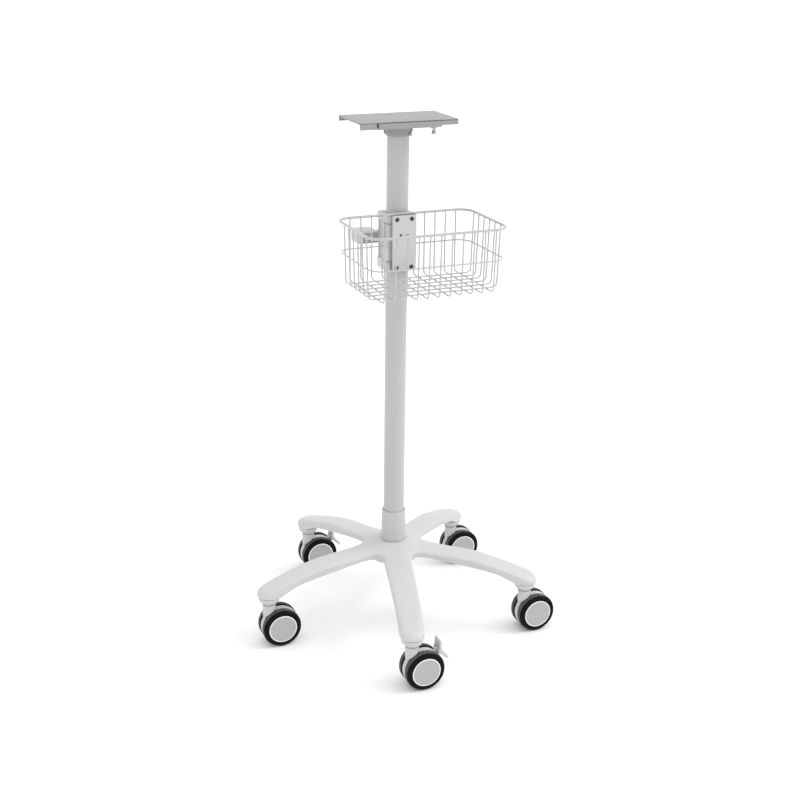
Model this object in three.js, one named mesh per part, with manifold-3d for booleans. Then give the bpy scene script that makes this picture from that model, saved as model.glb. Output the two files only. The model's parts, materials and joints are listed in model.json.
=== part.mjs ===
// Rolling stand for a patient monitor: five-leg base on twin-wheel casters, round pole,
// wire basket clamped to a pole bracket, and a quick-release plate on a head socket.
// Units are millimetres. +Z is up, the basket faces -Y, the plate slides along X.

import * as THREE from 'three';
import { mergeVertices } from 'three/addons/utils/BufferGeometryUtils.js';
import Module from 'manifold-3d';

const wasm = await Module();
wasm.setup();

// ---------------------------------------------------------------- driving dimensions

const GAP = 0.3;                  // clearance between pieces that touch
const DEG = Math.PI / 180;

const LEG_COUNT = 5;
const LEG_PITCH = 72 * DEG;
const BASE_TURN = 3 * DEG;        // the star sits slightly turned from square to the basket
const STEM_CIRCLE = 260;          // radius of the circle of caster stems
const LEG_ROOT_HALF = 25.5;       // half width of a leg where it leaves the hub
const LEG_TIP_HALF = 22;          // half width and end radius at the tip
const LEG_FILLET = 22;            // inside corner between two legs
const LEG_WALL = 4.5;             // wall of the hollow underside
const HUB_TOP = 172.4;
const HUB_FLOOR = 138;
const HUB_LEDGE = 146;            // the pole stands on this ledge
const TIP_BOTTOM = 110;

const POLE_R = 19.75;
const POLE_WALL = 2;
const POLE_TOP = 965;
const BORE_R = POLE_R + GAP;

const SLEEVE_TOP = 233.4;
const SLEEVE_R_TOP = 22.6;
const SLEEVE_R_FOOT = 24.8;

const WHEEL_R = 37.5;
const TREAD_INNER = 6;            // wheel faces, measured from the caster's middle plane
const TREAD_OUTER = 22;
const CAP_FACE = 23.5;
const RIM_R = 27;
const AXLE_R = 4;
const TRAIL = 20;                 // axle behind the stem
const NECK_R = 13.5;
const NECK_TOP = 87.4;
const WEB_HALF = 5.3;
const HOOD_R = 36.3;
const STEM_R = 5;

const PEDAL_HALF = 10;            // half width of the brake pedal
const PEDAL_PIVOT = { x: TRAIL + 31.5, z: WHEEL_R + 29.3 };

const PLATE_TOP = 981.5;          // quick-release plate
const SHEET = 2.5;
const PLATE_HALF_X = 91;
const PLATE_HALF_Y = 52;
const RAIL_X0 = -57.5;            // ends of the fixed rail plate
const RAIL_X1 = 59;
const RAIL_BOTTOM = 968.9;
const RAIL_TOP = 979.2;
const PLUNGER = { x: 47.8, y: -45 };

const RIM_Z = 817;                // basket rim centre line
const RIM_WIRE = 2.4;
const MESH_WIRE = 1.4;
const BASKET_HALF_X = 126;
const BASKET_BACK = -26.5;
const BASKET_FRONT = -194.5;
const BASKET_CORNER = 26;
const BAND_Z = 762;
const FLOOR_Z = 706;
const WALL_TAPER = 0.03;          // inward lean of the side and front walls
const LENGTH_WIRES = 11;          // wires that run front to back
const LENGTH_PITCH = 20.2;
const CROSS_WIRES = 6;            // wires that run side to side
const CROSS_PITCH = 20.8;
const CROSS_CENTRE = -111;

const BRACKET_HALF_X = 28.4;
const BRACKET_FRONT = -25.4;
const BRACKET_BACK = 30;
const RAIL_HALF_X = 27.4;
const RAIL_BACK = 26;
const RAIL_Z0 = 732;
const RAIL_Z1 = 799;
const BRACKET_Z0 = 711.4;
const BRACKET_Z1 = 814;
const CLAMP_HALF_X = 22.3;
const CLAMP_Z0 = 714.6;
const CLAMP_Z1 = 815.4;
const CLAMP_BACK = -31.9;
const CLAMP_FRONT = -34.5;
const CLAMP_SCREW_X = 14.1;
const CLAMP_SCREW_Z = [721.5, 808.2];
const ARM_Z0 = 756.8;             // arm behind the bracket's left side
const ARM_Z1 = 777.4;
const ARM_END = -67;
const ARM_FRONT = 18;
const ARM_BACK = 65;

// ---------------------------------------------------------------- materials

const finish = (color, roughness, metalness = 0) =>
  new THREE.MeshStandardMaterial({ color, roughness, metalness });

const basePaint = finish(0xdfe0e0, 0.45);
const polePaint = finish(0xc9caca, 0.4, 0.1);
const sleevePlastic = finish(0xc6c7c8, 0.5);
const casterPlastic = finish(0xcfd0d0, 0.5);
const capPlastic = finish(0xbfc0c1, 0.45);
const tyreRubber = finish(0x1e1f20, 0.75);
const zincSteel = finish(0x9fa2a5, 0.35, 0.9);
const sheetSteel = finish(0xb4b6b8, 0.4, 0.5);
const castGrey = finish(0xc4c5c6, 0.5, 0.1);
const wirePaint = finish(0xf0f0f0, 0.35);

// ---------------------------------------------------------------- solids and booleans

const v2 = (x, y) => new THREE.Vector2(x, y);
const v3 = (x, y, z) => new THREE.Vector3(x, y, z);

function signedVolume(position, index) {
  const a = v3(0, 0, 0);
  const b = v3(0, 0, 0);
  const c = v3(0, 0, 0);
  let volume = 0;
  for (let i = 0; i < index.length; i += 3) {
    a.fromBufferAttribute(position, index[i]);
    b.fromBufferAttribute(position, index[i + 1]);
    c.fromBufferAttribute(position, index[i + 2]);
    volume += a.dot(b.cross(c)) / 6;
  }
  return volume;
}

// Drops faces that have collapsed, and pairs of faces back to back, where a ring meets itself.
function usefulFaces(index) {
  const faces = new Map();
  for (let i = 0; i < index.length; i += 3) {
    const face = [index[i], index[i + 1], index[i + 2]];
    if (new Set(face).size < 3) continue;
    const key = [...face].sort((a, b) => a - b).join();
    if (faces.has(key)) faces.delete(key);
    else faces.set(key, face);
  }
  return [...faces.values()].flat();
}

// Turns a closed three.js geometry into a solid, facing out.
function solid(geometry) {
  const bare = geometry.clone();
  bare.deleteAttribute('normal');
  bare.deleteAttribute('uv');
  const merged = mergeVertices(bare, 1e-4);
  const kept = usefulFaces(merged.index.array);
  if (signedVolume(merged.attributes.position, kept) < 0) {
    for (let i = 0; i < kept.length; i += 3) [kept[i], kept[i + 1]] = [kept[i + 1], kept[i]];
  }
  return new wasm.Manifold(new wasm.Mesh({
    numProp: 3,
    vertProperties: new Float32Array(merged.attributes.position.array),
    triVerts: new Uint32Array(kept),
  }));
}

function union(solids) {
  return solids.reduce((sum, next) => sum.add(next));
}

function cut(body, tools) {
  return tools.reduce((left, tool) => left.subtract(tool), body);
}

function piece(name, body, material) {
  const { vertProperties, triVerts } = body.getMesh();
  const geometry = new THREE.BufferGeometry();
  geometry.setAttribute('position', new THREE.BufferAttribute(vertProperties, 3));
  geometry.setIndex(new THREE.BufferAttribute(triVerts, 1));
  geometry.computeVertexNormals();
  const mesh = new THREE.Mesh(geometry, material);
  mesh.name = name;
  return mesh;
}

// ---------------------------------------------------------------- shape helpers

// Profile points are [radius, height]. It starts and ends on the axis or closes on itself.
function latheZ(profile, segments) {
  const points = profile.map(([r, h]) => v2(r, h));
  return solid(new THREE.LatheGeometry(points, segments).rotateX(90 * DEG));
}

function latheY(profile, segments) {
  return solid(new THREE.LatheGeometry(profile.map(([r, h]) => v2(r, h)), segments));
}

// A ring or disc between two heights; an inner radius of 0 makes a plain round bar.
function roundZ(inner, outer, z0, z1, segments = 24) {
  return latheZ(ringProfile(inner, outer, z0, z1), segments);
}

function roundY(inner, outer, y0, y1, segments = 24) {
  return latheY(ringProfile(inner, outer, y0, y1), segments);
}

function ringProfile(inner, outer, h0, h1) {
  const loop = [[inner, h0], [outer, h0], [outer, h1], [inner, h1]];
  return inner > 0 ? [...loop, loop[0]] : loop;
}

function outline(points) {
  return new THREE.Shape(points.map(([x, y]) => v2(x, y)));
}

function extrudeZ(shape, z0, z1, curveSegments = 6) {
  const options = { depth: z1 - z0, bevelEnabled: false, curveSegments };
  return solid(new THREE.ExtrudeGeometry(shape, options).translate(0, 0, z0));
}

// The shape is drawn in X and Z, and runs from y0 to y1.
function extrudeY(shape, y0, y1, curveSegments = 6) {
  const options = { depth: y1 - y0, bevelEnabled: false, curveSegments };
  return solid(new THREE.ExtrudeGeometry(shape, options).rotateX(90 * DEG).translate(0, y1, 0));
}

// The shape is drawn in Y and Z, and runs from x0 to x1.
function extrudeX(shape, x0, x1) {
  const geometry = new THREE.ExtrudeGeometry(shape, { depth: x1 - x0, bevelEnabled: false });
  const turn = new THREE.Matrix4().makeBasis(v3(0, 1, 0), v3(0, 0, 1), v3(1, 0, 0));
  return solid(geometry.applyMatrix4(turn).translate(x0, 0, 0));
}

function block(x0, x1, y0, y1, z0, z1) {
  return extrudeZ(outline([[x0, y0], [x1, y0], [x1, y1], [x0, y1]]), z0, z1);
}

// A rectangle whose four corners have their own radii: [left front, right front, right back, left back].
function roundedRect(x0, x1, y0, y1, [lf, rf, rb, lb]) {
  const shape = new THREE.Shape();
  shape.absarc(x1 - rf, y0 + rf, rf, -90 * DEG, 0, false);
  shape.absarc(x1 - rb, y1 - rb, rb, 0, 90 * DEG, false);
  shape.absarc(x0 + lb, y1 - lb, lb, 90 * DEG, 180 * DEG, false);
  shape.absarc(x0 + lf, y0 + lf, lf, 180 * DEG, 270 * DEG, false);
  return shape;
}

// A path through given points, kept exactly where they are.
class PointPath extends THREE.Curve {
  constructor(points) {
    super();
    this.points = points;
  }

  getPoint(t, target = v3(0, 0, 0)) {
    const at = t * (this.points.length - 1);
    const i = Math.min(Math.floor(at), this.points.length - 2);
    return target.lerpVectors(this.points[i], this.points[i + 1], at - i);
  }

  getPointAt(t, target) {
    return this.getPoint(t, target);
  }

  getTangentAt(t, target = v3(0, 0, 0)) {
    const i = Math.round(t * (this.points.length - 1));
    const before = this.points[Math.max(i - 1, 0)];
    const here = this.points[i];
    const after = this.points[Math.min(i + 1, this.points.length - 1)];
    const arriving = here.clone().sub(before).normalize();
    const leaving = after.clone().sub(here).normalize();
    return target.addVectors(arriving, leaving).normalize();
  }
}

// A wire's section is a polygon of the same area as the round wire.
function wire(points, radius, sides) {
  const turn = 2 * Math.PI / sides;
  const reach = radius * Math.sqrt(turn / Math.sin(turn));
  const corners = Array.from({ length: sides }, (_, i) =>
    [reach * Math.cos((i + 0.5) * turn), reach * Math.sin((i + 0.5) * turn)]);
  const section = outline(corners);
  const options = { steps: points.length - 1, extrudePath: new PointPath(points) };
  return solid(new THREE.ExtrudeGeometry(section, options));
}

// An open route with each inner corner rounded by an arc.
function roundedRoute(corners, radius, steps) {
  const route = [corners[0]];
  for (let i = 1; i < corners.length - 1; i += 1) {
    const back = corners[i - 1].clone().sub(corners[i]).normalize();
    const ahead = corners[i + 1].clone().sub(corners[i]).normalize();
    const half = back.angleTo(ahead) / 2;
    const reach = radius / Math.tan(half);
    const centre = back.clone().add(ahead).normalize().multiplyScalar(radius / Math.sin(half));
    const start = back.clone().multiplyScalar(reach).sub(centre);
    const end = ahead.clone().multiplyScalar(reach).sub(centre);
    const sweep = start.angleTo(end);
    for (let k = 0; k <= steps; k += 1) {
      const t = k / steps;
      const arc = start.clone().multiplyScalar(Math.sin((1 - t) * sweep) / Math.sin(sweep));
      arc.addScaledVector(end, Math.sin(t * sweep) / Math.sin(sweep));
      route.push(arc.add(centre).add(corners[i]));
    }
  }
  route.push(corners[corners.length - 1]);
  return route;
}

const stand = new THREE.Group();

// ---------------------------------------------------------------- five-leg base

// Height of the leg's upper surface, as [distance from the pole axis, height].
const LEG_TOP_LINE = [
  [30, 171], [42, 166.5], [62, 160.2], [100, 155], [137, 152], [165, 148.3],
  [200, 139.8], [240, 128.6], [262, 121.6], [275, 116.4], [283, 110.8],
];
const LEG_BOTTOM_LINE = [[46, HUB_FLOOR], [60, 146], [120, 139.3], [206, 122.6], [241, TIP_BOTTOM]];
const STAR_FACETS = 32;
const LEG_END = STEM_CIRCLE + LEG_TIP_HALF + 1;

function starShape(inset) {
  const shape = new THREE.Shape();
  const tip = LEG_TIP_HALF - inset;
  const fillet = LEG_FILLET + inset;
  const corner = (LEG_ROOT_HALF + LEG_FILLET) / Math.sin(LEG_PITCH / 2);
  for (let i = 0; i < LEG_COUNT; i += 1) {
    const leg = legAngle(i);
    const gap = leg + LEG_PITCH / 2;
    shape.absarc(STEM_CIRCLE * Math.cos(leg), STEM_CIRCLE * Math.sin(leg), tip,
      leg - 90 * DEG, leg + 90 * DEG, false);
    shape.absarc(corner * Math.cos(gap), corner * Math.sin(gap), fillet,
      leg - 90 * DEG, leg - 198 * DEG, true);
  }
  return shape;
}

function legAngle(i) {
  return -108 * DEG + BASE_TURN + i * LEG_PITCH;
}

function baseStar() {
  const bottomFirst = [[0, HUB_FLOOR], ...LEG_BOTTOM_LINE, [LEG_END, TIP_BOTTOM]];
  const topLast = [...LEG_TOP_LINE].reverse();
  const envelope = latheZ([...bottomFirst, ...topLast, [26, HUB_TOP], [0, HUB_TOP]], STAR_FACETS);
  const body = extrudeZ(starShape(0), TIP_BOTTOM - 5, HUB_TOP + 5, 3).intersect(envelope);

  const ceiling = LEG_TOP_LINE.map(([r, z]) => [r, z - LEG_WALL]);
  const heightAt = (r) => {
    const next = ceiling.findIndex(([radius]) => radius >= r);
    const [r0, z0] = ceiling[next - 1];
    const [r1, z1] = ceiling[next];
    return z0 + (z1 - z0) * (r - r0) / (r1 - r0);
  };
  const hollow = extrudeZ(starShape(LEG_WALL), TIP_BOTTOM - 10, HUB_TOP, 3);
  const bays = [[52, 106], [110, 168], [172, 232]];   // between the hub, two ribs and the stem boss
  const pockets = bays.map(([r0, r1]) => {
    const between = ceiling.filter(([r]) => r > r0 && r < r1).reverse();
    const loop = [[r0, 100], [r1, 100], [r1, heightAt(r1)], ...between, [r0, heightAt(r0)], [r0, 100]];
    return latheZ(loop, STAR_FACETS).intersect(hollow);
  });

  const poleSocket = roundZ(0, BORE_R, HUB_LEDGE, HUB_TOP + 1);
  const boltHole = roundZ(0, 6.4, HUB_FLOOR - 1, HUB_LEDGE + 1, 12);
  const studHoles = [];
  for (let i = 0; i < LEG_COUNT; i += 1) {
    const { x, y } = stemPlace(i);
    studHoles.push(roundZ(0, 6.3, TIP_BOTTOM - 1, TIP_BOTTOM + 7.3, 12).translate([x, y, 0]));
  }
  return cut(body, [...pockets, poleSocket, boltHole, ...studHoles]);
}

function stemPlace(i) {
  return {
    x: STEM_CIRCLE * Math.cos(legAngle(i)),
    y: STEM_CIRCLE * Math.sin(legAngle(i)),
  };
}

stand.add(piece('base_star', baseStar(), basePaint));

// ---------------------------------------------------------------- pole, sleeve and foot bolt

stand.add(piece('pole',
  roundZ(POLE_R - POLE_WALL, POLE_R, HUB_LEDGE + GAP, POLE_TOP), polePaint));

stand.add(piece('pole_sleeve', latheZ([
  [BORE_R, HUB_TOP + GAP], [SLEEVE_R_FOOT, HUB_TOP + GAP], [SLEEVE_R_TOP, SLEEVE_TOP - 1.2],
  [SLEEVE_R_TOP - 1, SLEEVE_TOP], [BORE_R, SLEEVE_TOP], [BORE_R, HUB_TOP + GAP],
], 24), sleevePlastic));

const PLUG_Z0 = 148;
stand.add(piece('pole_foot_plug',
  roundZ(6.3, POLE_R - POLE_WALL - GAP, PLUG_Z0, 170, 20), zincSteel));

stand.add(piece('pole_foot_bolt', union([
  roundZ(0, 9, HUB_FLOOR - GAP - 7, HUB_FLOOR - GAP, 6),
  roundZ(0, 6, HUB_FLOOR - GAP - 1, 166, 12),
]), zincSteel));

// ---------------------------------------------------------------- casters

const CASTERS = ['front', 'right', 'back_right', 'back_left', 'left'];
const BRAKED = ['front', 'back_left'];

// Bearing cup with its threaded stud, fixed under the leg.
function casterCup() {
  const top = TIP_BOTTOM - GAP;
  return latheZ([
    [STEM_R + GAP, NECK_TOP + GAP], [15.2, NECK_TOP + GAP], [19.4, 99],
    [20.4, top], [6, top], [6, top + 7], [0, top + 7],
    [0, 105], [STEM_R + GAP, 105], [STEM_R + GAP, NECK_TOP + GAP],
  ], 16);
}

// Neck, hood and stem: one moulding that swivels. The hood is the web between the two wheels.
function casterFork(braked) {
  const hood = new THREE.Shape();
  const lead = 229 * DEG;
  const trail = 8 * DEG;
  hood.absarc(TRAIL, WHEEL_R, HOOD_R, lead, trail, true);
  hood.lineTo(TRAIL + 12, WHEEL_R - 9);
  hood.lineTo(TRAIL - 8, WHEEL_R - 14);
  const lug = new THREE.Shape();
  lug.absarc(PEDAL_PIVOT.x, PEDAL_PIVOT.z, 5, 0, 360 * DEG, false);
  const lugFoot = outline([
    [TRAIL + 20, WHEEL_R + 24], [TRAIL + 25.5, WHEEL_R + 19.5],
    [PEDAL_PIVOT.x + 2.6, PEDAL_PIVOT.z - 4.2], [PEDAL_PIVOT.x - 3.4, PEDAL_PIVOT.z + 3.6],
  ]);
  const wheelSpace = [-1, 1].map((side) => roundY(0, WHEEL_R + 1.4, 0, NECK_R, 28)
    .translate([TRAIL, side < 0 ? -WEB_HALF - NECK_R : WEB_HALF, WHEEL_R]));
  const neck = cut(roundZ(0, NECK_R, 52, NECK_TOP, 16), wheelSpace);
  const parts = [extrudeY(hood, -WEB_HALF, WEB_HALF, 8), neck, roundZ(0, STEM_R, 80, 104.5, 10)];
  const axleHole = roundY(0, AXLE_R + GAP, -10, 10, 12).translate([TRAIL, 0, WHEEL_R]);
  if (!braked) return union(parts).subtract(axleHole);
  const pinHole = roundY(0, 2.8, -10, 10, 8).translate([PEDAL_PIVOT.x, 0, PEDAL_PIVOT.z]);
  parts.push(extrudeY(lug, -WEB_HALF, WEB_HALF, 5), extrudeY(lugFoot, -WEB_HALF, WEB_HALF));
  return cut(union(parts), [axleHole, pinHole]);
}

const WHEEL_FACETS = 20;

// Side +1 is the wheel on the caster's +Y side, -1 the one on its -Y side.
function tyre(side) {
  const rim = RIM_R + GAP;
  const loop = [
    [rim, TREAD_INNER], [WHEEL_R, TREAD_INNER + 1.5],
    [WHEEL_R, TREAD_OUTER - 4], [WHEEL_R - 2.8, TREAD_OUTER], [rim, TREAD_OUTER],
  ];
  return latheY([...loop, loop[0]].map(([r, y]) => [r, side * y]), WHEEL_FACETS);
}

function wheelHub(side) {
  const bore = AXLE_R + GAP;
  return latheY([
    [0, CAP_FACE], [RIM_R, CAP_FACE - 0.8], [RIM_R, TREAD_INNER], [bore, TREAD_INNER],
    [bore, 20], [0, 20],
  ].map(([r, y]) => [r, side * y]), WHEEL_FACETS);
}

function brakePedal() {
  const { x, z } = PEDAL_PIVOT;
  const inner = WEB_HALF + 0.6;
  const lugClear = 5.8;
  const thick = 4.4;
  // A tongue across the full width, on two side arms that straddle the hood's lug.
  const tongue = (angle, length) => {
    const blade = outline([
      [lugClear, -thick / 2], [length - 1.5, -thick / 2], [length, 0],
      [length - 1.5, thick / 2], [lugClear, thick / 2],
    ]);
    const arm = (y0, y1) => block(0, lugClear + 1, y0, y1, -thick / 2, thick / 2);
    return union([
      extrudeY(blade, -PEDAL_HALF, PEDAL_HALF),
      arm(-PEDAL_HALF, -inner),
      arm(inner, PEDAL_HALF),
    ]).rotate([0, -angle, 0]);
  };
  return union([
    roundY(0, 4.6, inner, PEDAL_HALF, 12),
    roundY(0, 4.6, -PEDAL_HALF, -inner, 12),
    roundY(0, 2.5, -PEDAL_HALF + 1, PEDAL_HALF - 1, 8),
    tongue(74, 24.5),
    tongue(-46, 29),
  ]).translate([x, 0, z]);
}

CASTERS.forEach((where, i) => {
  const place = stemPlace(i);
  const braked = BRAKED.includes(where);
  const caster = new THREE.Group();
  caster.position.set(place.x, place.y, 0);
  caster.add(piece(`caster_cup_${where}`, casterCup(), casterPlastic));
  caster.add(piece(`caster_fork_${where}`, casterFork(braked), casterPlastic));
  if (braked) caster.add(piece(`brake_pedal_${where}`, brakePedal(), casterPlastic));
  const wheels = new THREE.Group();
  wheels.position.set(TRAIL, 0, WHEEL_R);
  wheels.add(piece(`axle_${where}`, roundY(0, AXLE_R, -19.7, 19.7, 10), zincSteel));
  for (const [label, side] of [['a', -1], ['b', 1]]) {
    wheels.add(piece(`tyre_${label}_${where}`, tyre(side), tyreRubber));
    wheels.add(piece(`wheel_hub_${label}_${where}`, wheelHub(side), capPlastic));
  }
  caster.add(wheels);
  stand.add(caster);
});

// ---------------------------------------------------------------- head socket

const SOCKET_TOP = RAIL_BOTTOM - GAP;
const SOCKET_FOOT = 949.5;
const SOCKET_R = 23.6;
// Each set screw: direction in plan and height.
const SET_SCREWS = [
  { name: 'left', angle: 157 * DEG, z: 955 },
  { name: 'right', angle: -20 * DEG, z: 958.5 },
  { name: 'front', angle: -48 * DEG, z: 953.5 },
];
const SCREW_FACETS = 8;

function setScrewShape(shank, head) {
  const inner = BORE_R + 0.1;
  return latheZ([
    [0, inner], [shank, inner], [shank, SOCKET_R + GAP], [head, SOCKET_R + GAP],
    [head, SOCKET_R + 3], [0, SOCKET_R + 3],
  ], SCREW_FACETS).rotate([0, 90, 0]);
}

const placeScrew = (body, { angle, z }) => body.rotate([0, 0, angle / DEG]).translate([0, 0, z]);

const screwHole = roundZ(0, 2.3, 15, SOCKET_R + 4, SCREW_FACETS).rotate([0, 90, 0]);
const socketShell = latheZ([
  [0, POLE_TOP + GAP], [BORE_R, POLE_TOP + GAP], [BORE_R, SOCKET_FOOT], [SOCKET_R - 0.8, SOCKET_FOOT],
  [SOCKET_R, SOCKET_FOOT + 0.8], [SOCKET_R, 961.5], [24.6, 962.5], [24.6, SOCKET_TOP], [0, SOCKET_TOP],
], 24);
stand.add(piece('head_socket',
  cut(socketShell, SET_SCREWS.map((screw) => placeScrew(screwHole, screw))), castGrey));
for (const screw of SET_SCREWS) {
  stand.add(piece(`set_screw_${screw.name}`, placeScrew(setScrewShape(2, 3.5), screw), zincSteel));
}

// ---------------------------------------------------------------- quick-release head

// Channel with upturned lips, fixed on the socket.
function railPlate() {
  const outer = PLATE_HALF_Y + GAP + SHEET;
  const inner = PLATE_HALF_Y + GAP;
  const floor = RAIL_BOTTOM + SHEET;
  const section = outline([
    [-outer, RAIL_BOTTOM], [outer, RAIL_BOTTOM], [outer, RAIL_TOP], [inner, RAIL_TOP],
    [inner, floor], [-inner, floor], [-inner, RAIL_TOP], [-outer, RAIL_TOP],
  ]);
  const hole = roundZ(0, 4.1, RAIL_BOTTOM - 1, floor + 1, 12).translate([PLUNGER.x, PLUNGER.y, 0]);
  return extrudeX(section, RAIL_X0, RAIL_X1).subtract(hole);
}

// The plate that the monitor is screwed to. It rests on its flanges and slides out to -X; the
// deeper tab at its front left meets the end of the rail plate.
function slidePlate() {
  const flange = RAIL_BOTTOM + SHEET + GAP;
  const inner = PLATE_HALF_Y - SHEET;
  const section = outline([
    [-PLATE_HALF_Y, flange], [-inner, flange], [-inner, PLATE_TOP - SHEET], [inner, PLATE_TOP - SHEET],
    [inner, flange], [PLATE_HALF_Y, flange], [PLATE_HALF_Y, PLATE_TOP], [-PLATE_HALF_Y, PLATE_TOP],
  ]);
  const tab = block(-PLATE_HALF_X, RAIL_X0 - GAP, -PLATE_HALF_Y, -inner, flange - 2.2, flange + 2);
  return extrudeX(section, -PLATE_HALF_X, PLATE_HALF_X).add(tab);
}

const BARREL_TOP = RAIL_BOTTOM + SHEET + 4;
const KNOB_TOP = 964;
const plungerBarrel = latheZ([
  [2.4, RAIL_BOTTOM - 3], [5.4, RAIL_BOTTOM - 3], [5.4, RAIL_BOTTOM - GAP], [3.8, RAIL_BOTTOM - GAP],
  [3.8, BARREL_TOP], [2.4, BARREL_TOP], [2.4, RAIL_BOTTOM - 3],
], 12);
const plungerKnob = latheZ([
  [0, 956.3], [4.3, 956.3], [4.4, 957.6], [3.8, 961], [2.5, KNOB_TOP], [2.1, KNOB_TOP],
  [2.1, PLATE_TOP - SHEET - GAP - 1], [1.4, PLATE_TOP - SHEET - GAP], [0, PLATE_TOP - SHEET - GAP],
], 12);

stand.add(piece('rail_plate', railPlate(), sheetSteel));
stand.add(piece('slide_plate', slidePlate(), sheetSteel));
const plunger = new THREE.Group();
plunger.position.set(PLUNGER.x, PLUNGER.y, 0);
plunger.add(piece('plunger_barrel', plungerBarrel, zincSteel));
plunger.add(piece('plunger_knob', plungerKnob, zincSteel));
stand.add(plunger);

// ---------------------------------------------------------------- pole bracket

function bracketPlan(halfX, back, frontRadius, backRadius) {
  return roundedRect(-halfX, halfX, BRACKET_FRONT, back,
    [frontRadius, frontRadius, backRadius, backRadius]);
}

const poleBore = roundZ(0, BORE_R, 700, 830);

// Extruded rail with a deep slot and a shallow channel down each side.
function bracketRail() {
  const body = extrudeZ(bracketPlan(RAIL_HALF_X, RAIL_BACK, 1.5, 5), RAIL_Z0 + GAP, RAIL_Z1 - GAP, 3);
  const slots = [[-14.6, -6.6, 5], [1, 18, 2.5]].flatMap(([y0, y1, depth]) => [
    block(-RAIL_HALF_X - 1, -RAIL_HALF_X + depth, y0, y1, RAIL_Z0, RAIL_Z1),
    block(RAIL_HALF_X - depth, RAIL_HALF_X + 1, y0, y1, RAIL_Z0, RAIL_Z1),
  ]);
  return cut(body, [poleBore, ...slots]);
}

const BOSS_R = 4;
const SCREW_HOLE_R = 2.2;
const SCREW_DEPTH = 5;

function clampScrewHole(x, z, radius, depth) {
  return roundY(0, radius, CLAMP_FRONT - 1, BRACKET_FRONT + depth, 10).translate([x, 0, z]);
}

// End collar of the bracket, with two bosses that the clamp plate is screwed to.
function bracketCollar(z0, z1, screwZ, extras = []) {
  const body = extrudeZ(bracketPlan(BRACKET_HALF_X, BRACKET_BACK, 5, 7), z0, z1, 4);
  const bosses = [-CLAMP_SCREW_X, CLAMP_SCREW_X].map((x) =>
    roundY(0, BOSS_R, CLAMP_BACK + GAP, BRACKET_FRONT + 1, 10).translate([x, 0, screwZ]));
  const holes = [-CLAMP_SCREW_X, CLAMP_SCREW_X].map((x) =>
    clampScrewHole(x, screwZ, SCREW_HOLE_R, SCREW_DEPTH));
  return cut(union([body, ...bosses, ...extras]), [poleBore, ...holes]);
}

// Upright round boss on the lower collar's front left corner.
const cornerBoss = roundZ(0, 4.6, BRACKET_Z0 + 0.6, RAIL_Z0 - 1, 16).translate([-27.2, -25.4, 0]);

// Front plate that clamps the basket's back wires against the bracket.
function clampPlate() {
  const shape = new THREE.Shape();
  const r = 3;
  shape.absarc(CLAMP_HALF_X - r, CLAMP_Z0 + r, r, -90 * DEG, 0, false);
  shape.absarc(CLAMP_HALF_X - r, CLAMP_Z1 - r, r, 0, 90 * DEG, false);
  shape.absarc(-CLAMP_HALF_X + r, CLAMP_Z1 - r, r, 90 * DEG, 180 * DEG, false);
  shape.absarc(-CLAMP_HALF_X + r, CLAMP_Z0 + r, r, 180 * DEG, 270 * DEG, false);
  const slot = new THREE.Shape();
  const slotHalf = 6.4;
  const slotR = 1.75;
  const slotZ = 780.3;
  slot.absarc(slotHalf, slotZ, slotR, -90 * DEG, 90 * DEG, false);
  slot.absarc(-slotHalf, slotZ, slotR, 90 * DEG, 270 * DEG, false);
  const tools = [extrudeY(slot, CLAMP_FRONT - 1, CLAMP_BACK + 1, 4)];
  for (const [x, z] of clampScrews()) {
    tools.push(clampScrewHole(x, z, SCREW_HOLE_R, 0));
    tools.push(latheY([[0, CLAMP_FRONT - 0.5], [4.4, CLAMP_FRONT - 0.5], [4.4, CLAMP_FRONT],
      [2.2, CLAMP_FRONT + 2.2], [0, CLAMP_FRONT + 2.2]], 10).translate([x, 0, z]));
  }
  return cut(extrudeY(shape, CLAMP_FRONT, CLAMP_BACK, 3), tools);
}

function clampScrews() {
  return CLAMP_SCREW_Z.flatMap((z) => [[-CLAMP_SCREW_X, z], [CLAMP_SCREW_X, z]]);
}

// Countersunk screw with a hexagon socket.
function clampScrew() {
  const face = CLAMP_FRONT + 0.4;
  const tip = BRACKET_FRONT + SCREW_DEPTH - 0.5;
  const body = latheY([
    [0, face], [3.7, face], [1.9, face + 1.8], [1.9, tip], [0, tip],
  ], 10);
  return body.subtract(roundY(0, 1.5, face - 1, face + 1.4, 6));
}

// Moulded arm that the leads are hung on. Its foot is fixed to the rail's back.
function cableArm() {
  const side = -RAIL_HALF_X - GAP;
  const back = RAIL_BACK + GAP;
  const body = extrudeZ(roundedRect(ARM_END, side, ARM_FRONT, ARM_BACK, [3, 0.5, 14, 14]), ARM_Z0, ARM_Z1, 5);
  const foot = block(side - 10, 12, back, back + 9, ARM_Z0, ARM_Z1);
  const padBed = block(ARM_END + 3.5, side - 2.5, ARM_FRONT - 1, ARM_FRONT + 2.4, ARM_Z0 + 1.5, ARM_Z1 - 1.5);
  return body.add(foot).subtract(padBed);
}

stand.add(piece('bracket_rail', bracketRail(), castGrey));
stand.add(piece('bracket_collar_lower', bracketCollar(BRACKET_Z0, RAIL_Z0, CLAMP_SCREW_Z[0], [cornerBoss]), castGrey));
stand.add(piece('bracket_collar_upper', bracketCollar(RAIL_Z1, BRACKET_Z1, CLAMP_SCREW_Z[1]), castGrey));
stand.add(piece('clamp_plate', clampPlate(), castGrey));
clampScrews().forEach(([x, z], i) => {
  const screw = piece(`clamp_screw_${i + 1}`, clampScrew(), zincSteel);
  screw.position.set(x, 0, z);
  stand.add(screw);
});
stand.add(piece('cable_arm', cableArm(), casterPlastic));

// ---------------------------------------------------------------- wire basket

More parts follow.
